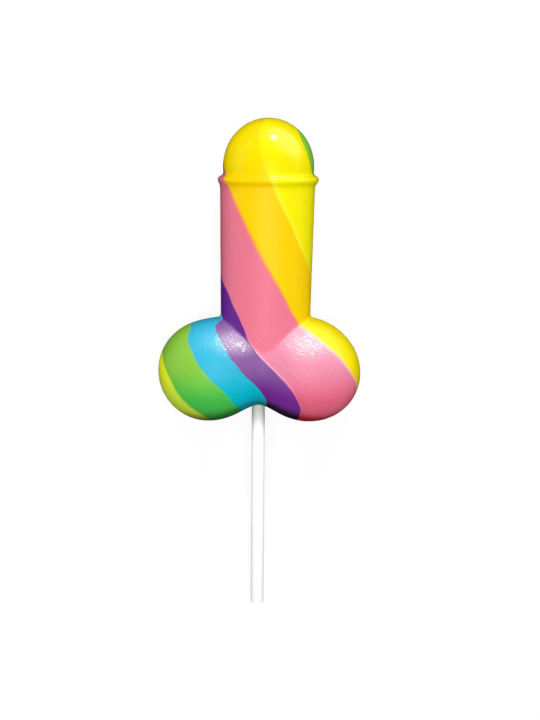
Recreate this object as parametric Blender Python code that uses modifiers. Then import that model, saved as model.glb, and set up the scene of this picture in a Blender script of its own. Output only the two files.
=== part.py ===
"""Novelty lollipop of pulled sugar on a plain paper stick, lying on its back with its shown side up.

X runs across it from the middle of its width, +Y towards the head, +Z up. It rests on Z = 0, on three
small flats where it lay to set: one behind each lobe and one behind the collar.
"""

import math

import bmesh
import bpy
from mathutils import Vector

# Overall, in metres: Y is measured from the middle of the whole length
OVERALL_LENGTH = 0.1460
HEAD_TOP_ABOVE_LOBES = 0.0753
LOBES_Y = OVERALL_LENGTH / 2 - HEAD_TOP_ABOVE_LOBES

# The section is an oval: this is its depth over its width, and the axis lies this high
DEPTH_SHARE = 0.74
AXIS_HEIGHT = 0.0109

# Lobes: two ovals, and a rounder swelling that fills the middle between them up to the shaft. The first
# radius is the one along the tilt. Heights here are levels above the lobes' middle
LEFT_LOBE_CENTRE = (-0.01545, -0.00065)
LEFT_LOBE_RADII = (0.01475, 0.01505)
LEFT_LOBE_TILT = math.radians(23.5)
RIGHT_LOBE_CENTRE = (0.01365, 0.00015)
RIGHT_LOBE_RADII = (0.01705, 0.0155)
RIGHT_LOBE_TILT = math.radians(-28)
LOBE_DEPTH_RADIUS = 0.0168
LOBES_BLEND = 0.0054
MIDDLE_CENTRE = (-0.0060, 0.0028)
MIDDLE_RADII = (0.0123, 0.0125)
MIDDLE_DEPTH_RADIUS = 0.0138
MIDDLE_BLEND = 0.0069

# Shaft
SHAFT_X = 0.0018
SHAFT_LEAN = math.radians(0.5)
SHAFT_ROOT_LEVEL = 0.0160
SHAFT_TOP_LEVEL = 0.0564
SHAFT_ROOT_RADIUS = 0.0134
SHAFT_TOP_RADIUS = 0.0142
SHAFT_END_LEVEL = 0.0090
CREASE_BLEND = 0.0010

# Collar and head
COLLAR_LEVEL = 0.0569
COLLAR_RING_RADIUS = 0.0140
COLLAR_BEAD_RADIUS = 0.00096
COLLAR_BLEND = 0.0016
HEAD_X = 0.0024
HEAD_LEVEL = 0.0608
HEAD_RADIUS = 0.0136
HEAD_HEIGHT = 0.0145

# Stick, and the bore that it is set in
STICK_X = -0.0002
STICK_DIAMETER = 0.0040
STICK_INSIDE_LEVEL = 0.0245
STICK_END_ROUNDING = 0.0002
BORE_GAP = 0.0003

# Mesh: points round each section, and rings from the head's top to the notch
AROUND = 64
HEAD_RINGS = 11
HEAD_LOWEST_ANGLE = math.radians(-8)
COLLAR_LEVELS = (0.0585, 0.0581, 0.0577, 0.0573, 0.0569, 0.0564, 0.0559, 0.0554, 0.0547)
SHAFT_RINGS = 10
CREASE_OFFSETS = (0.0020, 0.0009, 0.0)
SHOULDER_RINGS = 9
UNDERSIDE_RINGS = 13

# The crease between shaft and lobes runs from its lowest point in front to its highest at the sides
CREASE_FRONT_LEVEL = 0.0062
CREASE_SIDE_LEVEL = 0.0159

# Where the points of the lobes are spread before they are moved out to the surface
LOBES_HALF_WIDTH = 0.0300
LOBES_UNDERSIDE_DROP = 0.0135
SHOULDER_SPREAD = 1.25

# How finely the surface is sought along a direction
SEARCH_STEP = 0.001
SEARCH_HALVINGS = 24
NEARLY_ZERO = 1e-9


def smooth_union(a, b, blend):
    """The nearer of two distances, eased over the blend."""
    share = min(max(0.5 + 0.5 * (b - a) / blend, 0.0), 1.0)
    return b + (a - b) * share - blend * share * (1.0 - share)


def oval_distance(point, centre, radii, tilt):
    """Distance from a point to an oval body whose long axis is tilted in the X-Y plane."""
    offset = Vector((point.x - centre[0], point.y - centre[1], point.z))
    along = offset.x * math.cos(tilt) + offset.y * math.sin(tilt)
    across = offset.y * math.cos(tilt) - offset.x * math.sin(tilt)
    local = Vector((along, across, offset.z))
    scaled = Vector((local.x / radii[0], local.y / radii[1], local.z / radii[2]))
    gradient = Vector((scaled.x / radii[0], scaled.y / radii[1], scaled.z / radii[2]))
    return scaled.length * (scaled.length - 1.0) / max(gradient.length, NEARLY_ZERO)


def candy_distance(point):
    """Distance to the candy, with its depth drawn out to a round section. Y is the level above the lobes."""
    left_radii = (*LEFT_LOBE_RADII, LOBE_DEPTH_RADIUS)
    right_radii = (*RIGHT_LOBE_RADII, LOBE_DEPTH_RADIUS)
    middle_radii = (*MIDDLE_RADII, MIDDLE_DEPTH_RADIUS)
    left = oval_distance(point, LEFT_LOBE_CENTRE, left_radii, LEFT_LOBE_TILT)
    right = oval_distance(point, RIGHT_LOBE_CENTRE, right_radii, RIGHT_LOBE_TILT)
    middle = oval_distance(point, MIDDLE_CENTRE, middle_radii, 0.0)
    lobes = smooth_union(smooth_union(left, right, LOBES_BLEND), middle, MIDDLE_BLEND)

    up_shaft = (point.y - SHAFT_ROOT_LEVEL) / (SHAFT_TOP_LEVEL - SHAFT_ROOT_LEVEL)
    radius = SHAFT_ROOT_RADIUS + (SHAFT_TOP_RADIUS - SHAFT_ROOT_RADIUS) * up_shaft
    from_axis = math.hypot(point.x - shaft_axis_x(point.y), point.z)
    below_end = min(point.y - SHAFT_END_LEVEL, 0.0)
    shaft = math.hypot(from_axis, below_end) - radius
    shaft = max(shaft, point.y - SHAFT_TOP_LEVEL)

    head_radii = (HEAD_RADIUS, HEAD_HEIGHT, HEAD_RADIUS)
    head = oval_distance(point, (HEAD_X, HEAD_LEVEL), head_radii, 0.0)
    from_ring = math.hypot(point.x - HEAD_X, point.z) - COLLAR_RING_RADIUS
    collar = math.hypot(from_ring, point.y - COLLAR_LEVEL) - COLLAR_BEAD_RADIUS

    body = smooth_union(lobes, shaft, CREASE_BLEND)
    top = smooth_union(head, collar, COLLAR_BLEND)
    return smooth_union(body, top, COLLAR_BLEND)


def shaft_axis_x(level):
    """The shaft leans a little across as it rises."""
    return SHAFT_X + math.tan(SHAFT_LEAN) * (level - SHAFT_ROOT_LEVEL)


def surface_point(start, direction):
    """Goes from a point inside the candy along a direction, to where it first leaves the candy."""
    direction = direction.normalized()
    inside = 0.0
    while candy_distance(start + direction * (inside + SEARCH_STEP)) < 0.0:
        inside += SEARCH_STEP
    outside = inside + SEARCH_STEP
    for _ in range(SEARCH_HALVINGS):
        middle = (inside + outside) / 2
        if candy_distance(start + direction * middle) < 0.0:
            inside = middle
        else:
            outside = middle
    return start + direction * inside


def crease_level(angle):
    """Level of the crease at an angle round the shaft, measured from the front."""
    return CREASE_FRONT_LEVEL + (CREASE_SIDE_LEVEL - CREASE_FRONT_LEVEL) * abs(math.sin(angle))


def level_point(level, angle):
    """Point of the candy at a level of the shaft or collar, and at an angle round it."""
    start = Vector((shaft_axis_x(level), level, 0.0))
    return surface_point(start, Vector((math.sin(angle), 0.0, math.cos(angle))))


def lobe_point(guess):
    """Point of the lobes in the direction of a guess, from the line through both of their centres."""
    start = Vector((guess.x / 2, 0.0, 0.0))
    return surface_point(start, guess - start)


def ring_point(ring, angle):
    """Point of one ring of the candy, counted from the head's top down to the notch."""
    if ring < HEAD_RINGS:
        rise = math.pi / 2 + (HEAD_LOWEST_ANGLE - math.pi / 2) * ring / (HEAD_RINGS - 1)
        outward = Vector((math.sin(angle), 0.0, math.cos(angle))) * math.cos(rise)
        return surface_point(Vector((HEAD_X, HEAD_LEVEL, 0.0)), outward + Vector((0.0, math.sin(rise), 0.0)))
    ring -= HEAD_RINGS

    if ring < len(COLLAR_LEVELS):
        return level_point(COLLAR_LEVELS[ring], angle)
    ring -= len(COLLAR_LEVELS)

    if ring < SHAFT_RINGS:
        lowest = crease_level(angle) + CREASE_OFFSETS[0]
        share = (ring + 1) / (SHAFT_RINGS + 1)
        return level_point(COLLAR_LEVELS[-1] + (lowest - COLLAR_LEVELS[-1]) * share, angle)
    ring -= SHAFT_RINGS

    if ring < len(CREASE_OFFSETS):
        return level_point(crease_level(angle) + CREASE_OFFSETS[ring], angle)
    ring -= len(CREASE_OFFSETS)

    rim = Vector((LOBES_HALF_WIDTH * math.sin(angle), 0.0, LOBE_DEPTH_RADIUS * math.cos(angle)))
    if ring < SHOULDER_RINGS:
        share = ((ring + 1) / SHOULDER_RINGS) ** SHOULDER_SPREAD
        crease = level_point(crease_level(angle), angle)
        return lobe_point(crease.lerp(rim, share))
    ring -= SHOULDER_RINGS

    turn = math.pi / 2 * (ring + 1) / UNDERSIDE_RINGS
    drop = Vector((0.0, -LOBES_UNDERSIDE_DROP * math.sin(turn), 0.0))
    return lobe_point(rim * math.cos(turn) + drop)


def collection_for(name):
    """A new collection in the scene."""
    collection = bpy.data.collections.new(name)
    bpy.context.scene.collection.children.link(collection)
    return collection


def surface_material(name, colour, roughness):
    """A plain material of one colour, given in linear light."""
    material = bpy.data.materials.new(name)
    material.use_nodes = True
    shader = material.node_tree.nodes["Principled BSDF"]
    shader.inputs["Base Color"].default_value = (*colour, 1.0)
    shader.inputs["Roughness"].default_value = roughness
    shader.inputs["Metallic"].default_value = 0.0
    return material


def link_only(obj, collection):
    """Keeps an object in one collection."""
    for other in list(obj.users_collection):
        other.objects.unlink(obj)
    collection.objects.link(obj)


for old in list(bpy.data.objects):
    bpy.data.objects.remove(old, do_unlink=True)
lollipop = collection_for("lollipop")
cutters = collection_for("cutters")

# Candy: a sphere whose rings are moved out to the surface of the joined forms
ring_count = HEAD_RINGS + len(COLLAR_LEVELS) + SHAFT_RINGS + len(CREASE_OFFSETS) + SHOULDER_RINGS
ring_count += UNDERSIDE_RINGS
candy_mesh = bpy.data.meshes.new("candy")
shape = bmesh.new()
bmesh.ops.create_uvsphere(shape, u_segments=AROUND, v_segments=ring_count - 1, radius=1.0)
for vertex in shape.verts:
    polar = math.acos(min(max(vertex.co.z, -1.0), 1.0))
    ring = round(polar / math.pi * (ring_count - 1))
    angle = math.atan2(vertex.co.x, vertex.co.y)
    point = ring_point(ring, angle)
    vertex.co = (point.x, point.y + LOBES_Y, point.z * DEPTH_SHARE + AXIS_HEIGHT)

# The flats at the back, where it lay while the sugar set
everything = list(shape.verts) + list(shape.edges) + list(shape.faces)
bmesh.ops.bisect_plane(
    shape,
    geom=everything,
    dist=NEARLY_ZERO,
    plane_co=(0.0, 0.0, 0.0),
    plane_no=(0.0, 0.0, -1.0),
    clear_outer=True,
)
open_edges = [edge for edge in shape.edges if edge.is_boundary]
bmesh.ops.holes_fill(shape, edges=open_edges)
bmesh.ops.recalc_face_normals(shape, faces=shape.faces)
shape.to_mesh(candy_mesh)
shape.free()
candy = bpy.data.objects.new("candy", candy_mesh)
lollipop.objects.link(candy)
candy_mesh.materials.append(surface_material("pulled_sugar", (0.90, 0.23, 0.33), 0.15))
candy_mesh.shade_smooth()
candy_mesh.set_sharp_from_angle(angle=math.radians(40))

# Bore: the stick's hole, from below the notch up into the shaft
bore_top = LOBES_Y + STICK_INSIDE_LEVEL + BORE_GAP
bore_bottom = LOBES_Y - LOBES_HALF_WIDTH
bpy.ops.mesh.primitive_cylinder_add(
    vertices=32,
    radius=STICK_DIAMETER / 2 + BORE_GAP,
    depth=bore_top - bore_bottom,
    location=(STICK_X, (bore_top + bore_bottom) / 2, AXIS_HEIGHT),
    rotation=(math.pi / 2, 0.0, 0.0),
)
bore_cutter = bpy.context.object
bore_cutter.name = "bore_cutter"
bore_cutter.hide_render = True
bore_cutter.display_type = "WIRE"
link_only(bore_cutter, cutters)
bore = candy.modifiers.new("bore", "BOOLEAN")
bore.operation = "DIFFERENCE"
bore.object = bore_cutter

# Stick: a straight round paper stick with plain cut ends
stick_top = LOBES_Y + STICK_INSIDE_LEVEL
stick_bottom = -OVERALL_LENGTH / 2
bpy.ops.mesh.primitive_cylinder_add(
    vertices=32,
    radius=STICK_DIAMETER / 2,
    depth=stick_top - stick_bottom,
    location=(STICK_X, (stick_top + stick_bottom) / 2, AXIS_HEIGHT),
    rotation=(math.pi / 2, 0.0, 0.0),
)
stick = bpy.context.object
stick.name = "stick"
stick.data.name = "stick"
link_only(stick, lollipop)
stick.data.materials.append(surface_material("white_paper", (0.95, 0.95, 0.93), 0.7))
rounding = stick.modifiers.new("cut_ends", "BEVEL")
rounding.width = STICK_END_ROUNDING
rounding.segments = 1
rounding.limit_method = "ANGLE"
stick.data.shade_smooth()
stick.data.set_sharp_from_angle(angle=math.radians(30))
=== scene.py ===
"""Looks of the novelty lollipop: pulled sugar in six twisted strands on a rolled paper stick."""

import math

import bmesh
import bpy
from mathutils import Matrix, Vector


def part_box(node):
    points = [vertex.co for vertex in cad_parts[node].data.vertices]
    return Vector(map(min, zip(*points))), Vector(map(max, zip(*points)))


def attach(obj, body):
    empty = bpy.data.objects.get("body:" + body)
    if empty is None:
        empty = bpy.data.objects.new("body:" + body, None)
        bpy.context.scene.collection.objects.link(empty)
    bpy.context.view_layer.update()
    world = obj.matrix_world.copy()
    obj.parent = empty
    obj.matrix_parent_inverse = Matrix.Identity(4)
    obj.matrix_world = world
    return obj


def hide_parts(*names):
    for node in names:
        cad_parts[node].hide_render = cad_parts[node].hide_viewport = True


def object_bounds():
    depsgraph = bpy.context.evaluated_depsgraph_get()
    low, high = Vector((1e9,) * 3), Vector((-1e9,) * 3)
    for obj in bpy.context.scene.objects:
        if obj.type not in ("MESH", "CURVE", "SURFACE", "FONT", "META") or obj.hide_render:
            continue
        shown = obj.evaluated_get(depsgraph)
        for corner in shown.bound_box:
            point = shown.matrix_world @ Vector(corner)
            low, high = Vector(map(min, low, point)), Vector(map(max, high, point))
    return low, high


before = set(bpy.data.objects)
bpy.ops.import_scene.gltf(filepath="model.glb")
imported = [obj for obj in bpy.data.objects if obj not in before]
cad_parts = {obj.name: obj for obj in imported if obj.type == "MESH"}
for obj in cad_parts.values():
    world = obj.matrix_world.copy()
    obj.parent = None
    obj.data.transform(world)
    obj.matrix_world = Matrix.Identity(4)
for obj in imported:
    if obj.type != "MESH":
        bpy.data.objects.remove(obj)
solid_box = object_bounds()

# The candy
# One piece of hard pulled sugar: six coloured strands were laid side by side, drawn out and twisted, and
# the soft rope was pressed in a mould, which left the collar, the creases and the fine drag lines that
# run along the strands. It set lying down, so it has small flats behind.

MM = 0.001
OUTLINE_TOP = solid_box[1][1]
LOBES_Y = OUTLINE_TOP - 75.3 * MM
DEPTH_SHARE = 0.74
AXIS_HEIGHT = 10.9 * MM
SHAFT_ROOT_LEVEL = 16.0 * MM
SHAFT_TOP_LEVEL = 56.4 * MM
GRAIN = 0.37 * MM

CANDY_SIZES = {
    "Lobes Y": LOBES_Y,
    "Depth share": DEPTH_SHARE,
    "Axis height": AXIS_HEIGHT,
    "Left lobe centre": (-15.45 * MM, -0.65 * MM, 0.0),
    "Left lobe radii": (14.75 * MM, 15.05 * MM, 16.8 * MM),
    "Left lobe tilt": math.radians(23.5),
    "Right lobe centre": (13.65 * MM, 0.15 * MM, 0.0),
    "Right lobe radii": (17.05 * MM, 15.5 * MM, 16.8 * MM),
    "Right lobe tilt": math.radians(-28),
    "Lobes blend": 5.4 * MM,
    "Middle centre": (-6.0 * MM, 2.8 * MM, 0.0),
    "Middle radii": (12.3 * MM, 12.5 * MM, 13.8 * MM),
    "Middle blend": 6.9 * MM,
    "Shaft X": 1.8 * MM,
    "Shaft lean": math.tan(math.radians(0.5)),
    "Shaft root level": SHAFT_ROOT_LEVEL,
    "Shaft top level": SHAFT_TOP_LEVEL,
    "Shaft root radius": 13.4 * MM,
    "Shaft top radius": 14.2 * MM,
    "Shaft end level": 9.0 * MM,
    "Crease blend": 1.0 * MM,
    "Collar level": 56.9 * MM,
    "Collar ring radius": 14.0 * MM,
    "Collar bead radius": 0.96 * MM,
    "Collar blend": 1.6 * MM,
    "Head centre": (2.4 * MM, 60.8 * MM, 0.0),
    "Head radii": (13.6 * MM, 14.5 * MM, 13.6 * MM),
}


def new_tree(name, inputs, outputs):
    """A node tree with named sockets: a number makes a float input, three numbers make a vector input."""
    tree = bpy.data.node_groups.new(name, "GeometryNodeTree")
    for label, value in inputs.items():
        kind = "NodeSocketVector" if isinstance(value, tuple) else "NodeSocketFloat"
        socket = tree.interface.new_socket(label, in_out="INPUT", socket_type=kind)
        socket.default_value = value
    for label, kind in outputs.items():
        tree.interface.new_socket(label, in_out="OUTPUT", socket_type=kind)
    entry = tree.nodes.new("NodeGroupInput")
    result = tree.nodes.new("NodeGroupOutput")
    return tree, entry, result


def feed(tree, socket, value):
    """Links a socket to what feeds it, or sets its number."""
    if isinstance(value, bpy.types.NodeSocket):
        tree.links.new(value, socket)
    else:
        socket.default_value = value


def number(tree, operation, *values):
    """A Math node's result."""
    node = tree.nodes.new("ShaderNodeMath")
    node.operation = operation
    for socket, value in zip(node.inputs, values):
        feed(tree, socket, value)
    return node.outputs[0]


def vector(tree, operation, *values, scale=None):
    """A Vector Math node's result, which for a length is a number."""
    node = tree.nodes.new("ShaderNodeVectorMath")
    node.operation = operation
    for socket, value in zip(node.inputs, values):
        feed(tree, socket, value)
    if scale is not None:
        feed(tree, node.inputs["Scale"], scale)
    return node.outputs["Value" if operation in ("LENGTH", "DOT_PRODUCT") else "Vector"]


def split(tree, value):
    """The X, Y and Z of a vector."""
    node = tree.nodes.new("ShaderNodeSeparateXYZ")
    feed(tree, node.inputs[0], value)
    return node.outputs


def combine(tree, x, y, z):
    """A vector from three numbers."""
    node = tree.nodes.new("ShaderNodeCombineXYZ")
    for socket, value in zip(node.inputs, (x, y, z)):
        feed(tree, socket, value)
    return node.outputs[0]


def ease(tree, value, low, high, to_low=0.0, to_high=1.0, kind="SMOOTHSTEP"):
    """Carries a value from one range to another."""
    node = tree.nodes.new("ShaderNodeMapRange")
    node.interpolation_type = kind
    for socket, amount in zip(node.inputs, (value, low, high, to_low, to_high)):
        feed(tree, socket, amount)
    return node.outputs[0]


def noise(tree, place, detail, scale=1.0, roughness=0.5):
    """Smooth noise from 0 to 1, whose grains are a unit of the place wide, or smaller by the scale."""
    node = tree.nodes.new("ShaderNodeTexNoise")
    feed(tree, node.inputs["Vector"], place)
    node.inputs["Scale"].default_value = scale
    node.inputs["Detail"].default_value = detail
    node.inputs["Roughness"].default_value = roughness
    return node.outputs["Fac"]


def place_group(tree, group, **values):
    """A node of another tree, with its sockets fed by name."""
    node = tree.nodes.new("GeometryNodeGroup" if tree.type == "GEOMETRY" else "ShaderNodeGroup")
    node.node_tree = group
    for label, value in values.items():
        feed(tree, node.inputs[label.replace("_", " ")], value)
    return node


def pass_sizes(tree, entry, node):
    """Feeds every size that a group and its parent both name."""
    for label in CANDY_SIZES:
        if label in node.inputs and label in entry.outputs:
            tree.links.new(entry.outputs[label], node.inputs[label])


def oval_distance_tree():
    """Distance from a point to an oval body whose long axis is tilted in the plane of the outline."""
    inputs = {"Point": (0.0, 0.0, 0.0), "Centre": (0.0, 0.0, 0.0), "Radii": (1.0, 1.0, 1.0), "Tilt": 0.0}
    tree, entry, result = new_tree("oval_distance", inputs, {"Distance": "NodeSocketFloat"})
    offset = vector(tree, "SUBTRACT", entry.outputs["Point"], entry.outputs["Centre"])
    turn = tree.nodes.new("ShaderNodeVectorRotate")
    turn.rotation_type = "Z_AXIS"
    feed(tree, turn.inputs["Vector"], offset)
    feed(tree, turn.inputs["Angle"], number(tree, "MULTIPLY", entry.outputs["Tilt"], -1.0))
    scaled = vector(tree, "DIVIDE", turn.outputs[0], entry.outputs["Radii"])
    slope = vector(tree, "LENGTH", vector(tree, "DIVIDE", scaled, entry.outputs["Radii"]))
    reach = vector(tree, "LENGTH", scaled)
    excess = number(tree, "MULTIPLY", reach, number(tree, "SUBTRACT", reach, 1.0))
    # At the oval's very middle the slope is nothing, so it is kept above that
    distance = number(tree, "DIVIDE", excess, number(tree, "MAXIMUM", slope, 0.001))
    tree.links.new(distance, result.inputs[0])
    return tree


def candy_place_tree():
    """A point's place in the candy: across, level above the lobes, and depth drawn out till the flattened
    section is round."""
    inputs = {"Position": (0.0, 0.0, 0.0), **CANDY_SIZES}
    outputs = {"Point": "NodeSocketVector", "From axis": "NodeSocketFloat"}
    tree, entry, result = new_tree("candy_place", inputs, outputs)
    x, y, z = split(tree, entry.outputs["Position"])
    level = number(tree, "SUBTRACT", y, entry.outputs["Lobes Y"])
    above = number(tree, "SUBTRACT", z, entry.outputs["Axis height"])
    depth = number(tree, "DIVIDE", above, entry.outputs["Depth share"])
    tree.links.new(combine(tree, x, level, depth), result.inputs["Point"])
    rise = number(tree, "SUBTRACT", level, entry.outputs["Shaft root level"])
    lean = number(tree, "MULTIPLY_ADD", rise, entry.outputs["Shaft lean"], entry.outputs["Shaft X"])
    tree.links.new(number(tree, "SUBTRACT", x, lean), result.inputs["From axis"])
    return tree


oval_distance = oval_distance_tree()
candy_place = candy_place_tree()


def candy_distance_tree():
    """Distance to the candy's surface: lobes, shaft, collar and head, eased into each other. It also says
    how much nearer the lobes are than the shaft, which is nothing in the crease between them."""
    inputs = {"Position": (0.0, 0.0, 0.0), **CANDY_SIZES}
    outputs = {"Distance": "NodeSocketFloat", "Lobes nearer": "NodeSocketFloat"}
    tree, entry, result = new_tree("candy_distance", inputs, outputs)
    size = entry.outputs
    place = place_group(tree, candy_place, Position=size["Position"])
    pass_sizes(tree, entry, place)
    point = place.outputs["Point"]
    from_axis = place.outputs["From axis"]
    x, level, depth = split(tree, point)

    def oval(name, tilt):
        node = place_group(tree, oval_distance, Point=point, Centre=size[f"{name} centre"])
        feed(tree, node.inputs["Radii"], size[f"{name} radii"])
        feed(tree, node.inputs["Tilt"], tilt)
        return node.outputs[0]

    def union(a, b, blend):
        # The node fills a crease by a sixth of its distance, and the blend means a quarter
        return number(tree, "SMOOTH_MIN", a, b, number(tree, "MULTIPLY", blend, 1.5))

    left = oval("Left lobe", size["Left lobe tilt"])
    right = oval("Right lobe", size["Right lobe tilt"])
    lobes = union(left, right, size["Lobes blend"])
    lobes = union(lobes, oval("Middle", 0.0), size["Middle blend"])

    up_shaft = ease(
        tree,
        level,
        size["Shaft root level"],
        size["Shaft top level"],
        size["Shaft root radius"],
        size["Shaft top radius"],
        kind="LINEAR",
    )
    below_end = number(tree, "MINIMUM", number(tree, "SUBTRACT", level, size["Shaft end level"]), 0.0)
    shaft_reach = vector(tree, "LENGTH", combine(tree, from_axis, below_end, depth))
    shaft = number(tree, "SUBTRACT", shaft_reach, up_shaft)
    shaft = number(tree, "MAXIMUM", shaft, number(tree, "SUBTRACT", level, size["Shaft top level"]))

    head = oval("Head", 0.0)
    head_x = split(tree, size["Head centre"])[0]
    across = number(tree, "SUBTRACT", x, head_x)
    ring_reach = vector(tree, "LENGTH", combine(tree, across, 0.0, depth))
    from_ring = number(tree, "SUBTRACT", ring_reach, size["Collar ring radius"])
    above_ring = number(tree, "SUBTRACT", level, size["Collar level"])
    bead_reach = vector(tree, "LENGTH", combine(tree, from_ring, above_ring, 0.0))
    collar = number(tree, "SUBTRACT", bead_reach, size["Collar bead radius"])

    tree.links.new(number(tree, "SUBTRACT", shaft, lobes), result.inputs["Lobes nearer"])

    body = union(lobes, shaft, size["Crease blend"])
    top = union(head, collar, size["Collar blend"])
    tree.links.new(union(body, top, size["Collar blend"]), result.inputs[0])
    return tree


# Where each seam between two strands runs: (level above the lobes in mm, angle round the axis in degrees
# from the front). Under the lobes the level counts for more, so that the strands close on the stick.
LOWEST_STATION = -60.0
HIGHEST_STATION = 80.0
LEAST_ANGLE = -180.0
GREATEST_ANGLE = 480.0
SEAMS = {
    "purple to pink": [
        (-60, 92), (-40, 75), (-27, 52), (-20.3, 41.4), (-16.4, 35.2), (-13.4, 31.2), (-10.8, 27.8),
        (-8.4, 24.2), (-3.8, 17), (0.3, 9.6), (5, 0.2), (7.5, -5.1), (9.8, -12.3), (12.2, -19.8),
        (14.5, -28.8), (17, -37.8), (19.2, -45.3), (23.8, -58.4), (28, -80), (38, -105), (46, -125),
        (58, -152), (80, -160),
    ],
    "pink to golden": [
        (-60, 130), (-20, 112), (-9, 90), (-3.7, 71), (-0.3, 56.3), (3.5, 47.4), (7.2, 43.3),
        (10.7, 44.3), (14.2, 46), (17.8, 36.3), (21.5, 27), (28.8, 8.3), (36, -8.8), (43, -24.1),
        (50.2, -41.1), (57, -59.5), (60.5, -77), (66, -89), (80, -94),
    ],
    "golden to lemon": [
        (-60, 168), (-20, 165), (0, 150), (8, 136), (16, 117), (24, 95), (29, 75), (30.7, 68.4),
        (34.5, 55.3), (38, 44), (42, 35), (45.3, 27.6), (49, 18.3), (54.2, 8.4), (57.3, 3.4),
        (61.8, -4.5), (66.9, -11.9), (72.3, -18), (80, -24),
    ],
    "lemon to green": [
        (-60, 215), (-45, 240), (-32, 281), (-21, 309), (-16, 316.5), (-12.3, 318.8), (-7.2, 316.6),
        (-4, 313.5), (-2, 310.7), (-0.2, 305.6), (2, 298.5), (4.1, 289), (6.1, 270), (8, 256),
        (12, 232), (16, 206), (22, 172), (30, 142), (46, 102), (54, 92), (57, 86), (59, 73.5),
        (62, 65.3), (66, 60.6), (69.5, 60.8), (71.2, 69), (73, 85), (80, 96),
    ],
    "green to cyan": [
        (-60, 301), (-36.7, 326), (-17.4, 340.5), (-11, 342.4), (-7, 342.6), (-3.7, 340.6), (-1.1, 336.6),
        (1.4, 332.9), (4.3, 328.5), (5.8, 324.4), (7.2, 318.8), (9.9, 304.4), (12.5, 290), (13.7, 276),
        (17, 256), (22, 235), (30, 204), (46, 150), (58, 126), (80, 122),
    ],
    "cyan to purple": [
        (-60, 376), (-16.8, 370.2), (-9.5, 364.2), (-4, 357.6), (-0.5, 351.8), (2.6, 347.8), (5.5, 342.8),
        (7, 339.3), (8.4, 334.2), (11.2, 319.6), (13.9, 301), (15.2, 292), (16.3, 284), (17.4, 262),
        (19.5, 250), (24, 244), (30, 230), (46, 196), (58, 176), (80, 170),
    ],
}


# The twist runs round the shaft's axis above the first level and round the lobes' middle below the second.
# The lobes are twice as wide as the shaft, so half of the offset counts there.
SHAFT_TWIST_LEVEL = 18.6 * MM
LOBES_TWIST_LEVEL = 3.6 * MM
LOBES_MIDDLE_X = -0.35 * MM
LOBES_OFFSET_SHARE = 0.5
ROPE_RADIUS = 13.5 * MM
LEAST_CLOSING = 0.05
# The seams wander by this many degrees to either side, in waves of some 7 mm
SEAM_WANDER = 0.6
SEAM_WAVES = 150.0
SEAM_GROOVE = 0.035


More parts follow.
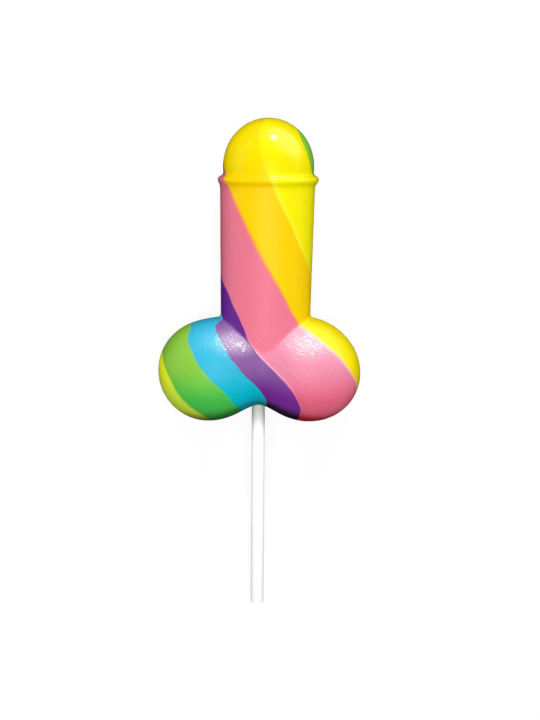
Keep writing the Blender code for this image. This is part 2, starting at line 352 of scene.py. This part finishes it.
def strand_tree():
    """Says for each point which strand it lies in, as a direction round a colour wheel, and how the sugar
    flowed there, as a direction round the axis with the twist taken out and a length along it."""
    inputs = {"Position": (0.0, 0.0, 0.0), **CANDY_SIZES}
    outputs = {
        "Strand": "NodeSocketVector",
        "Flow": "NodeSocketVector",
        "Station": "NodeSocketFloat",
        "Seam": "NodeSocketFloat",
    }
    tree, entry, result = new_tree("strands", inputs, outputs)
    place = place_group(tree, candy_place, Position=entry.outputs["Position"])
    pass_sizes(tree, entry, place)
    x, level, depth = split(tree, place.outputs["Point"])

    onto_lobes = ease(tree, level, SHAFT_TWIST_LEVEL, LOBES_TWIST_LEVEL)
    mixed = tree.nodes.new("ShaderNodeMix")
    feed(tree, mixed.inputs["Factor"], onto_lobes)
    feed(tree, mixed.inputs["A"], place.outputs["From axis"])
    feed(tree, mixed.inputs["B"], number(tree, "SUBTRACT", x, LOBES_MIDDLE_X))
    spread = number(tree, "MULTIPLY_ADD", onto_lobes, LOBES_OFFSET_SHARE - 1.0, 1.0)
    across = number(tree, "MULTIPLY", mixed.outputs["Result"], spread)
    reach = vector(tree, "LENGTH", combine(tree, across, 0.0, depth))
    closing = number(tree, "MAXIMUM", number(tree, "DIVIDE", reach, ROPE_RADIUS), LEAST_CLOSING)
    below = number(tree, "MINIMUM", number(tree, "DIVIDE", level, closing), 0.0)
    station = number(tree, "ADD", number(tree, "MAXIMUM", level, 0.0), below)
    station_mm = number(tree, "DIVIDE", station, MM)
    along = ease(tree, station_mm, LOWEST_STATION, HIGHEST_STATION, kind="LINEAR")

    waves = noise(tree, entry.outputs["Position"], 1.0, scale=SEAM_WAVES)
    wander = number(tree, "MULTIPLY_ADD", waves, 2 * SEAM_WANDER, -SEAM_WANDER)
    round_axis = number(tree, "DEGREES", number(tree, "ARCTAN2", across, depth))
    angle = number(tree, "ADD", round_axis, wander)

    seam_angles = []
    stations = HIGHEST_STATION - LOWEST_STATION
    angles = GREATEST_ANGLE - LEAST_ANGLE
    for name, path in SEAMS.items():
        curve = tree.nodes.new("ShaderNodeFloatCurve")
        curve.label = name
        points = curve.mapping.curves[0].points
        for count, (at, turn) in enumerate(path):
            spot = ((at - LOWEST_STATION) / stations, (turn - LEAST_ANGLE) / angles)
            if count < 2:
                points[count].location = spot
            else:
                points.new(*spot)
        for point in points:
            point.handle_type = "AUTO"
        curve.mapping.update()
        feed(tree, curve.inputs["Value"], along)
        seam_angles.append(number(tree, "MULTIPLY_ADD", curve.outputs[0], angles, LEAST_ANGLE))
    seam_angles.append(number(tree, "ADD", seam_angles[0], 360.0))

    turned = number(tree, "WRAP", angle, seam_angles[-1], seam_angles[0])
    strand_count = 0.0
    for low, high in zip(seam_angles, seam_angles[1:]):
        share = ease(tree, turned, low, high, kind="LINEAR")
        strand_count = number(tree, "ADD", strand_count, share)
    wheel = number(tree, "MULTIPLY", strand_count, math.tau / len(SEAMS))
    strand = combine(tree, number(tree, "COSINE", wheel), number(tree, "SINE", wheel), 0.0)
    tree.links.new(strand, result.inputs["Strand"])

    untwisted = number(tree, "RADIANS", number(tree, "SUBTRACT", angle, seam_angles[0]))
    flow_x = number(tree, "COSINE", untwisted)
    flow_y = number(tree, "SINE", untwisted)
    tree.links.new(combine(tree, flow_x, flow_y, station_mm), result.inputs["Flow"])
    tree.links.new(station_mm, result.inputs["Station"])

    # How near the nearer seam is: 1 on it, and 0 past the groove's share of the strand
    nearest = number(tree, "PINGPONG", number(tree, "FRACT", strand_count), 0.5)
    tree.links.new(ease(tree, nearest, SEAM_GROOVE, 0.0), result.inputs["Seam"])
    return tree


candy_distance = candy_distance_tree()
strands = strand_tree()

ROOM_AROUND = 2.0 * MM
LOBES_HANG = 20.0 * MM
FITTING_STEPS = 3
FITTING_SHARE = 0.8
# How far to each side of the crease the shaft's colours pass into the lobes'
CREASE_REACH = 0.30 * MM
DRAG_LINES = (16.0, 16.0, 0.22)
DRAG_DEPTH = 0.05 * MM
SEAM_DEPTH = 0.05 * MM
# The relief fades out between these stations, so that collar and head are smooth
RELIEF_FADE = (57.0, 53.0)


def push_out(tree, shape, distance):
    """Moves every point of a skin outwards."""
    step = tree.nodes.new("GeometryNodeSetPosition")
    normal = tree.nodes.new("GeometryNodeInputNormal").outputs[0]
    feed(tree, step.inputs["Geometry"], shape)
    feed(tree, step.inputs["Offset"], vector(tree, "SCALE", normal, scale=distance))
    return step.outputs[0]


def candy_tree(material):
    """The whole candy: a skin drawn where the distance is nothing, brought exactly onto the form, with the
    drag lines and the seams pressed into it, and the strands written on it for the material."""
    outputs = {"Geometry": "NodeSocketGeometry"}
    tree, entry, result = new_tree("pulled_candy", {"Grain": GRAIN, **CANDY_SIZES}, outputs)

    def measure_here():
        node = place_group(tree, candy_distance)
        feed(tree, node.inputs["Position"], tree.nodes.new("GeometryNodeInputPosition").outputs[0])
        pass_sizes(tree, entry, node)
        return node.outputs

    low_corner = Vector(solid_box[0]) - Vector((ROOM_AROUND,) * 3)
    high_corner = Vector(solid_box[1]) + Vector((ROOM_AROUND,) * 3)
    low_corner.y = LOBES_Y - LOBES_HANG
    cube = tree.nodes.new("GeometryNodeVolumeCube")
    feed(tree, cube.inputs["Density"], number(tree, "MULTIPLY", measure_here()["Distance"], -1.0))
    cube.inputs["Background"].default_value = -1.0
    cube.inputs["Min"].default_value = low_corner
    cube.inputs["Max"].default_value = high_corner
    for axis, label in enumerate("XYZ"):
        length = high_corner[axis] - low_corner[axis]
        count = number(tree, "ROUND", number(tree, "DIVIDE", length, entry.outputs["Grain"]))
        feed(tree, cube.inputs[f"Resolution {label}"], count)
    skin = tree.nodes.new("GeometryNodeVolumeToMesh")
    feed(tree, skin.inputs["Volume"], cube.outputs["Volume"])
    skin.inputs["Threshold"].default_value = 0.0
    shape = skin.outputs["Mesh"]

    # A few short steps along the normal bring the skin onto the form
    for _ in range(FITTING_STEPS):
        back = number(tree, "MULTIPLY", measure_here()["Distance"], -FITTING_SHARE)
        shape = push_out(tree, shape, back)

    marks = place_group(tree, strands)
    feed(tree, marks.inputs["Position"], tree.nodes.new("GeometryNodeInputPosition").outputs[0])
    pass_sizes(tree, entry, marks)
    below_crease = ease(tree, measure_here()["Lobes nearer"], -CREASE_REACH, CREASE_REACH)
    skin_marks = (
        ("strand", "FLOAT_VECTOR", marks.outputs["Strand"]),
        ("flow", "FLOAT_VECTOR", marks.outputs["Flow"]),
        ("lobe", "FLOAT", below_crease),
    )
    for label, kind, value in skin_marks:
        store = tree.nodes.new("GeometryNodeStoreNamedAttribute")
        store.data_type = kind
        store.domain = "POINT"
        store.inputs["Name"].default_value = label
        feed(tree, store.inputs["Geometry"], shape)
        feed(tree, store.inputs["Value"], value)
        shape = store.outputs[0]

    # Drag lines and seams are pressed into the shaft and lobes
    lines = noise(tree, vector(tree, "MULTIPLY", marks.outputs["Flow"], DRAG_LINES), 2.0)
    wave = number(tree, "MULTIPLY_ADD", lines, 2 * DRAG_DEPTH, -DRAG_DEPTH)
    groove = number(tree, "MULTIPLY", marks.outputs["Seam"], -SEAM_DEPTH)
    below_collar = ease(tree, marks.outputs["Station"], *RELIEF_FADE)
    relief = number(tree, "MULTIPLY", number(tree, "ADD", wave, groove), below_collar)
    shape = push_out(tree, shape, relief)

    # The flats behind, at the height of the surface that it lay on
    flats = tree.nodes.new("GeometryNodeSetPosition")
    feed(tree, flats.inputs["Geometry"], shape)
    x, y, z = split(tree, tree.nodes.new("GeometryNodeInputPosition").outputs[0])
    feed(tree, flats.inputs["Position"], combine(tree, x, y, number(tree, "MAXIMUM", z, 0.0)))

    smooth = tree.nodes.new("GeometryNodeSetShadeSmooth")
    feed(tree, smooth.inputs["Geometry"], flats.outputs[0])
    realize = tree.nodes.new("GeometryNodeRealizeInstances")
    feed(tree, realize.inputs["Geometry"], smooth.outputs[0])
    paint = tree.nodes.new("GeometryNodeSetMaterial")
    feed(tree, paint.inputs["Geometry"], realize.outputs[0])
    paint.inputs["Material"].default_value = material
    feed(tree, result.inputs["Geometry"], paint.outputs[0])
    return tree


def srgb(red, green, blue):
    """A colour given as it shows on a screen, 0 to 255, in linear light."""
    channels = [value / 255 for value in (red, green, blue)]
    return tuple(v / 12.92 if v <= 0.04045 else ((v + 0.055) / 1.055) ** 2.4 for v in channels) + (1.0,)


# Each strand's colour in five zones, with painted light and shade in some. The lobes' colours are paler
# with a painted sheen where their upper side faces the light, the low ones deeper and more saturated as in
# the lobes' shade, and the rim's, where the sugar closes on the stick, darkest as painted shade. The head's
# pink is painted shade, the dark red of its shaded left edge.
ZONES = ("head", "shaft", "lobes", "low", "rim")
STRAND_COLOURS = {
    "pink": ((150, 40, 40), (236, 120, 145), (238, 142, 171), (255, 116, 146), (204, 42, 58)),
    "golden": ((246, 220, 0), (252, 210, 0), (255, 234, 0), (255, 192, 16), (214, 160, 20)),
    "lemon": ((247, 232, 0), (250, 240, 0), (244, 254, 34), (224, 250, 72), (150, 160, 42)),
    "green": ((132, 206, 50), (120, 196, 40), (138, 200, 60), (80, 214, 86), (56, 150, 60)),
    "cyan": ((60, 180, 200), (20, 192, 224), (50, 185, 219), (0, 206, 230), (0, 172, 190)),
    "purple": ((110, 50, 140), (104, 34, 144), (136, 90, 158), (130, 48, 163), (50, 30, 60)),
}
# Some strands change colour by a seam. On the shaft the pink turns orange where the golden neighbour shines
# through, while the pale lines by the lemon's and the lobes' pink seams are painted highlight along the
# seams.
# For each: the strand, the side that the seam is on, how far the change reaches as a share of the strand,
# and the colour on the seam
FRINGES = {
    "shaft": [
        ("pink", "end", 0.03, (248, 140, 84)),
        ("lemon", "start", 0.05, (252, 243, 50)),
    ],
    "lobes": [
        ("pink", "start", 0.025, (252, 178, 200)),
        ("pink", "end", 0.05, (252, 186, 208)),
    ],
}
SEAM_SOFTNESS = 0.0035
SUGAR_SHADE = 0.84


def sugar(red, green, blue):
    """A strand's colour as it shows in strong light, brought down to the sugar's own."""
    return tuple(value * SUGAR_SHADE for value in srgb(red, green, blue)[:3]) + (1.0,)


def zone_ramp(tree, share, zone):
    """The strands' colours in one zone, side by side round a wheel."""
    ramp = tree.nodes.new("ShaderNodeValToRGB")
    feed(tree, ramp.inputs["Fac"], share)
    stops = []
    width = 1 / len(STRAND_COLOURS)
    for count, (name, colours) in enumerate(STRAND_COLOURS.items()):
        colour = sugar(*colours[ZONES.index(zone)])
        low = (count * width + SEAM_SOFTNESS, colour)
        high = ((count + 1) * width - SEAM_SOFTNESS, colour)
        for strand, side, reach, tint in FRINGES.get(zone, []):
            if strand == name and side == "start":
                stops.append((low[0] + reach * width, colour))
                low = (low[0], sugar(*tint))
            elif strand == name and side == "end":
                stops.append((high[0] - reach * width, colour))
                high = (high[0], sugar(*tint))
        stops += [low, high]
    stops.sort(key=lambda stop: stop[0])
    elements = ramp.color_ramp.elements
    elements[0].position, elements[0].color = stops[0]
    elements[1].position, elements[1].color = stops[-1]
    for position, colour in stops[1:-1]:
        elements.new(position).color = colour
    return ramp.outputs["Color"]


def blend_colours(tree, share, low, high):
    """One colour passing into another."""
    node = tree.nodes.new("ShaderNodeMix")
    node.data_type = "RGBA"
    feed(tree, node.inputs["Factor"], share)
    feed(tree, node.inputs["A"], low)
    feed(tree, node.inputs["B"], high)
    return node.outputs["Result"]


def bumps(tree, height, distance, strength, below=None):
    """The slope of fine bumps, which may lie on others."""
    node = tree.nodes.new("ShaderNodeBump")
    node.inputs["Distance"].default_value = distance
    feed(tree, node.inputs["Strength"], strength)
    feed(tree, node.inputs["Height"], height)
    if below is not None:
        feed(tree, node.inputs["Normal"], below)
    return node.outputs["Normal"]


def written(tree, name, output):
    """A value that the candy's tree wrote on its skin."""
    node = tree.nodes.new("ShaderNodeAttribute")
    node.attribute_name = name
    return node.outputs[output]


# Stations between which one zone's colour passes into the next, and the polish begins
LOBES_TO_LOW = (2.0, -8.0)
LOW_TO_RIM = (-11.0, -20.0)
SHAFT_TO_HEAD = (57.5, 61.5)
POLISH_BEGINS = (54.0, 58.0)
SHAFT_ROUGHNESS = 0.30
LOBES_ROUGHNESS = 0.24
HEAD_ROUGHNESS = 0.13
# The two yellow strands, the second and third sixth of the wheel, are clear and hardly show the sheen
YELLOW_BEGINS = (0.160, 0.172)
YELLOW_ENDS = (0.506, 0.494)
SHEEN_ON_YELLOW = 0.2

# Painted highlight patches where the key light falls on the upper lobes: the middle, across and above the
# lobes' level, half the width and height, and how strong
HIGHLIGHT_PATCHES = {
    "left lobe": ((-6.8 * MM, 8.3 * MM), (9.5 * MM, 4.8 * MM), 0.74),
    "right lobe": ((14.2 * MM, 8.7 * MM), (10.5 * MM, 7.4 * MM), 0.90),
}
PATCH_DEPTH = 4.0 * MM
SPARKLE_SCALE = (48.0, 48.0, 3.4)
SPARKLE_WHITE = (255, 250, 255)
CRYSTAL_HEIGHT = 0.30 * MM
SPARKLES_SHOW = (0.68, 0.86)
SPARKLES_COVER = 0.9
# How strong a patch has to be before its painted sparkles show at full strength, and how much the patch
# crowds them
PATCH_FULL = 0.14
CROWDING = 0.30
# A whitish painted sheen laid evenly over each patch
PAINTED_HAZE = 0.30
FINE_LINES = (26.0, 26.0, 0.32)
FINE_LINE_HEIGHT = 0.25 * MM
LINES_ON_SHAFT = 0.3
LINES_ON_LOBES = 0.7


def sugar_material():
    """Pulled sugar: the colour follows the strands and a broad sheen lies over it. Fine drag lines run along
    the shaft and lobes, pale sparkles of painted highlight lie on a grain of bumps on the upper lobes, and
    the head is polished."""
    material = bpy.data.materials.new("pulled_sugar")
    material.use_nodes = True
    tree = material.node_tree
    shader = tree.nodes["Principled BSDF"]
    flow = written(tree, "flow", "Vector")
    station = split(tree, flow)[2]
    on_lobes = written(tree, "lobe", "Fac")

    wheel_x, wheel_y, _ = split(tree, written(tree, "strand", "Vector"))
    turn = number(tree, "ARCTAN2", wheel_y, wheel_x)
    share = number(tree, "FRACT", number(tree, "MULTIPLY_ADD", turn, 1 / math.tau, 1.0))
    head, shaft, lobes, low, rim = (zone_ramp(tree, share, zone) for zone in ZONES)
    # Painted light: the lobes' painted sheen passes below into the deeper colours of their shaded underside,
    # and then into the rim's painted shade
    colour = blend_colours(tree, ease(tree, station, *LOBES_TO_LOW), lobes, low)
    colour = blend_colours(tree, ease(tree, station, *LOW_TO_RIM), colour, rim)
    colour = blend_colours(tree, on_lobes, shaft, colour)
    colour = blend_colours(tree, ease(tree, station, *SHAFT_TO_HEAD), colour, head)

    polished = ease(tree, station, *POLISH_BEGINS)
    rough = ease(tree, polished, 0.0, 1.0, SHAFT_ROUGHNESS, HEAD_ROUGHNESS)
    smoother = LOBES_ROUGHNESS - SHAFT_ROUGHNESS
    feed(tree, shader.inputs["Roughness"], number(tree, "MULTIPLY_ADD", on_lobes, smoother, rough))

    past_pink = ease(tree, share, *YELLOW_BEGINS)
    yellow = number(tree, "MULTIPLY", past_pink, ease(tree, share, *YELLOW_ENDS))
    not_yellow = number(tree, "SUBTRACT", 1.0, yellow)
    sheen = number(tree, "MULTIPLY_ADD", yellow, SHEEN_ON_YELLOW - 1.0, 1.0)
    feed(tree, shader.inputs["Coat Weight"], sheen)
    shader.inputs["Coat Roughness"].default_value = 0.48
    shader.inputs["Coat IOR"].default_value = 1.38
    shader.inputs["Specular IOR Level"].default_value = 0.25
    shader.inputs["Subsurface Weight"].default_value = 0.08
    shader.inputs["Subsurface Radius"].default_value = (1.0, 0.6, 0.4)
    shader.inputs["Subsurface Scale"].default_value = 1.5 * MM

    # Where the key light falls on each lobe's upper front, pale sparkles and a whitish haze are painted in
    # as highlight, over a fine grain of bumps
    place = tree.nodes.new("ShaderNodeTexCoord").outputs["Object"]
    highlight_patch = 0.0
    for (across, above_lobes), (half_width, half_height), depth in HIGHLIGHT_PATCHES.values():
        offset = vector(tree, "SUBTRACT", place, (across, LOBES_Y + above_lobes, 0.0))
        offset = vector(tree, "MULTIPLY", offset, (1 / half_width, 1 / half_height, 0.0))
        near = ease(tree, vector(tree, "LENGTH", offset), 1.0, 0.0, 0.0, depth)
        highlight_patch = number(tree, "MAXIMUM", highlight_patch, near)
    in_front = ease(tree, split(tree, place)[2], AXIS_HEIGHT, AXIS_HEIGHT + PATCH_DEPTH)
    for kept in (in_front, not_yellow, on_lobes):
        highlight_patch = number(tree, "MULTIPLY", highlight_patch, kept)
    sparkle_grain = noise(tree, vector(tree, "MULTIPLY", flow, SPARKLE_SCALE), 1.0, roughness=0.6)
    crowded = number(tree, "MULTIPLY_ADD", highlight_patch, CROWDING, sparkle_grain)
    painted_sparkles = ease(tree, crowded, *SPARKLES_SHOW, 0.0, SPARKLES_COVER)
    painted_sparkles = number(tree, "MULTIPLY", painted_sparkles, ease(tree, highlight_patch, 0.0, PATCH_FULL))
    painted_highlight = number(tree, "MAXIMUM", painted_sparkles, number(tree, "MULTIPLY", highlight_patch, PAINTED_HAZE))
    colour = blend_colours(tree, painted_highlight, colour, sugar(*SPARKLE_WHITE))
    feed(tree, shader.inputs["Base Color"], colour)

    # Fine drag lines along the strands, which fade out on the polished head
    lines = noise(tree, vector(tree, "MULTIPLY", flow, FINE_LINES), 3.0, roughness=0.6)
    stronger = LINES_ON_LOBES - LINES_ON_SHAFT
    strength = number(tree, "MULTIPLY_ADD", on_lobes, stronger, LINES_ON_SHAFT)
    strength = number(tree, "MULTIPLY", strength, number(tree, "SUBTRACT", 1.0, polished))
    drag_lines = bumps(tree, lines, FINE_LINE_HEIGHT, strength)
    feed(tree, shader.inputs["Normal"], bumps(tree, sparkle_grain, CRYSTAL_HEIGHT, highlight_patch, below=drag_lines))
    return material


candy_shape = bpy.data.objects.new("candy_form", bpy.data.meshes.new("candy_form"))
bpy.context.scene.collection.objects.link(candy_shape)
growth = candy_shape.modifiers.new("candy", "NODES")
growth.node_group = candy_tree(sugar_material())
for item in growth.node_group.interface.items_tree:
    if item.in_out == "INPUT":
        growth[item.identifier] = item.default_value
bpy.context.view_layer.update()
evaluated = candy_shape.evaluated_get(bpy.context.evaluated_depsgraph_get())
candy_mesh = bpy.data.meshes.new_from_object(evaluated)
candy_mesh.name = "candy_skin"
bpy.data.objects.remove(candy_shape)
candy = bpy.data.objects.new("candy_skin", candy_mesh)
bpy.context.scene.collection.objects.link(candy)
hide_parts("candy")
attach(candy, "root")

# The stick
# A straight stick rolled from a strip of white paper, 4 mm thick, with both ends cut square.

STICK_RADIUS = 2.0 * MM
stick_low, stick_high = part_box("stick")
stick_x = (stick_low[0] + stick_high[0]) / 2
stick_z = (stick_low[2] + stick_high[2]) / 2
PAPER = 0.20 * MM
LAYER_STEP = 0.215 * MM
CUT_INSET = 0.06 * MM
CUT_LENGTH = 0.12 * MM
LEAST_RADIUS = 0.02 * MM
POINTS_A_TURN = 48
TURNS = 8


def rolled_paper(name):
    """The strip seen end on is a spiral band, drawn out along the stick, with its cut ends worn."""
    mesh = bpy.data.meshes.new(name)
    shape = bmesh.new()
    rings = (stick_low[1], stick_low[1] + CUT_LENGTH, stick_high[1] - CUT_LENGTH, stick_high[1])
    insets = (CUT_INSET, 0.0, 0.0, CUT_INSET)
    rows = []
    for y, inset in zip(rings, insets):
        row = []
        for step in range(POINTS_A_TURN * TURNS + 1):
            angle = math.tau * step / POINTS_A_TURN
            radius = STICK_RADIUS - LAYER_STEP * step / POINTS_A_TURN
            pair = []
            for depth in (inset, PAPER - inset):
                reach = max(radius - depth, LEAST_RADIUS)
                pair.append(shape.verts.new((
                    stick_x + reach * math.cos(angle),
                    y,
                    stick_z + reach * math.sin(angle),
                )))
            row.append(pair)
        rows.append(row)
    for near, far in zip(rows, rows[1:]):
        for step in range(POINTS_A_TURN * TURNS):
            for side in (0, 1):
                corners = [near[step][side], near[step + 1][side], far[step + 1][side], far[step][side]]
                shape.faces.new(corners if side == 0 else corners[::-1])
        for step in (0, POINTS_A_TURN * TURNS):
            shape.faces.new((near[step][0], far[step][0], far[step][1], near[step][1]))
    for row in (rows[0], rows[-1]):
        for step in range(POINTS_A_TURN * TURNS):
            shape.faces.new((row[step][0], row[step][1], row[step + 1][1], row[step + 1][0]))
    bmesh.ops.recalc_face_normals(shape, faces=shape.faces)
    shape.to_mesh(mesh)
    shape.free()
    mesh.shade_smooth()
    mesh.set_sharp_from_angle(angle=math.radians(35))
    stick = bpy.data.objects.new(name, mesh)
    bpy.context.scene.collection.objects.link(stick)
    return stick


PAPER_SHADE = (246, 246, 240)
PAPER_WHITE = (255, 255, 252)
SHADED_PAPER = (222, 230, 214)
FIBRE_SCALE = 3000.0
FIBRE_STRETCH = 0.15
FIBRE_HEIGHT = 0.02 * MM
# The stretch below the candy where the paper is darker and greyish green: a painted shadow of the candy on
# the stick
SHADOW_FROM = LOBES_Y - 18 * MM
SHADOW_TO = LOBES_Y - 11 * MM


def paper_material():
    """White uncoated paper with faint fibres along the stick, and a painted shadow of the candy at its top.
    """
    material = bpy.data.materials.new("stick_paper")
    material.use_nodes = True
    tree = material.node_tree
    shader = tree.nodes["Principled BSDF"]
    place = tree.nodes.new("ShaderNodeTexCoord").outputs["Object"]
    along = vector(tree, "MULTIPLY", place, (1.0, FIBRE_STRETCH, 1.0))
    fibres = noise(tree, along, 4.0, scale=FIBRE_SCALE)
    paper = blend_colours(tree, fibres, srgb(*PAPER_SHADE), srgb(*PAPER_WHITE))
    painted_shadow = ease(tree, split(tree, place)[1], SHADOW_FROM, SHADOW_TO)
    paper = blend_colours(tree, painted_shadow, paper, srgb(*SHADED_PAPER))
    feed(tree, shader.inputs["Base Color"], paper)
    shader.inputs["Roughness"].default_value = 0.75
    feed(tree, shader.inputs["Normal"], bumps(tree, fibres, FIBRE_HEIGHT, 0.4))
    return material


stick = rolled_paper("rolled_stick")
stick.data.materials.append(paper_material())
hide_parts("stick")
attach(stick, "root")
# Its white would show as a grey patch in the hollow between the lobes
stick.visible_glossy = False

# The table, the lights and the camera
# A plain white table, with the light coming from beyond the head as it does in the picture, and the
# camera straight above, a little to the head's side.

TABLE_SIZE = 6.0
TABLE_DROP = 0.05 * MM
TABLE_GREY = 0.12
TABLE_GLOW = 0.88
BACKDROP_GLOW = 0.95
bpy.ops.mesh.primitive_plane_add(size=TABLE_SIZE, location=(0.0, 0.0, -TABLE_DROP))
table = bpy.context.object
table.name = "table"
table_paint = bpy.data.materials.new("table_white")
table_paint.use_nodes = True
table_tree = table_paint.node_tree
table_shader = table_tree.nodes["Principled BSDF"]
table_shader.inputs["Roughness"].default_value = 0.9
table_shader.inputs["Specular IOR Level"].default_value = 0.0
table_shader.inputs["Emission Color"].default_value = (1.0, 1.0, 1.0, 1.0)
light_path = table_tree.nodes.new("ShaderNodeLightPath").outputs
# The table isn't mirrored in the candy, and glows to the camera alone
unmirrored = number(table_tree, "MULTIPLY_ADD", light_path["Is Glossy Ray"], -TABLE_GREY, TABLE_GREY)
feed(table_tree, table_shader.inputs["Base Color"], unmirrored)
emission = number(table_tree, "MULTIPLY", light_path["Is Camera Ray"], TABLE_GLOW)
feed(table_tree, table_shader.inputs["Emission Strength"], emission)
table.data.materials.append(table_paint)

world = bpy.data.worlds.new("studio")
bpy.context.scene.world = world
world.use_nodes = True
backdrop = world.node_tree.nodes["Background"]
backdrop.inputs["Color"].default_value = (1.0, 1.0, 1.0, 1.0)
world_light_path = world.node_tree.nodes.new("ShaderNodeLightPath").outputs
glow = number(world.node_tree, "MULTIPLY", world_light_path["Is Camera Ray"], BACKDROP_GLOW)
feed(world.node_tree, backdrop.inputs["Strength"], glow)

# Each lamp is told by its direction from the lobes, its width, its height and its level
LAMP_DISTANCE = 1.6


def soft_light(name, direction, width, height, level, shines=True, lights=True, distance=LAMP_DISTANCE):
    """A lamp that looks at the lobes' middle from a direction. A level of 1 lights a white surface that
    faces it as bright as white paper. It may show in the gloss alone, or be left out of it."""
    lamp = bpy.data.lights.new(name, "AREA")
    lamp.shape = "ELLIPSE"
    lamp.size = width
    lamp.size_y = height
    lamp.energy = level * math.pi ** 2 * distance ** 2
    holder = bpy.data.objects.new(name, lamp)
    bpy.context.scene.collection.objects.link(holder)
    aim = Vector(direction).normalized()
    holder.location = Vector((0.0, LOBES_Y, AXIS_HEIGHT)) + aim * distance
    holder.rotation_euler = aim.to_track_quat("Z", "Y").to_euler()
    holder.visible_glossy = shines
    holder.visible_diffuse = lights


soft_light("key", (0.15, 0.84, 0.53), 0.36, 0.24, 0.40)
soft_light("side", (-0.60, 0.65, 0.46), 0.24, 0.12, 0.03)

# The window that shows in the head's polish has soft edges, from three panes of light behind each other:
# the width, height and level of each
WINDOW_DIRECTION = (0.55, 0.75, 0.33)
WINDOW_PANES = ((1.4, 1.1, 0.24), (2.0, 1.6, 0.50), (2.6, 2.1, 0.86))
PANE_GAP = 0.02
for count, pane in enumerate(WINDOW_PANES):
    behind = LAMP_DISTANCE + PANE_GAP * count
    soft_light(f"window {count}", WINDOW_DIRECTION, *pane, lights=False, distance=behind)

soft_light("top fill", (0.0, -0.14, 1.0), 1.2, 1.2, 0.80, shines=False)
soft_light("left fill", (-1.0, 0.25, 0.45), 1.0, 1.0, 0.42, shines=False)
soft_light("right fill", (1.0, 0.20, 0.45), 1.0, 1.0, 0.42, shines=False)
soft_light("upper fill", (-0.1, 1.0, 0.4), 1.0, 1.0, 0.26, shines=False)

CAMERA_DISTANCE = 1.1
CAMERA_TILT = math.radians(6.0)
CAMERA_TURN = math.radians(0.42)
FRAME_HEIGHT = 0.216
FRAME_CENTRE = (2.4 * MM, LOBES_Y + 2.7 * MM, AXIS_HEIGHT)
camera_data = bpy.data.cameras.new("camera")
camera_data.sensor_fit = "VERTICAL"
camera_data.sensor_height = 24.0
camera_data.lens = camera_data.sensor_height * CAMERA_DISTANCE / FRAME_HEIGHT
camera = bpy.data.objects.new("camera", camera_data)
bpy.context.scene.collection.objects.link(camera)
towards_camera = Vector((0.0, math.sin(CAMERA_TILT), math.cos(CAMERA_TILT)))
camera.location = Vector(FRAME_CENTRE) + towards_camera * CAMERA_DISTANCE
camera.rotation_euler = (-CAMERA_TILT, 0.0, CAMERA_TURN)
bpy.context.scene.camera = camera
bpy.context.scene.view_settings.view_transform = "Standard"
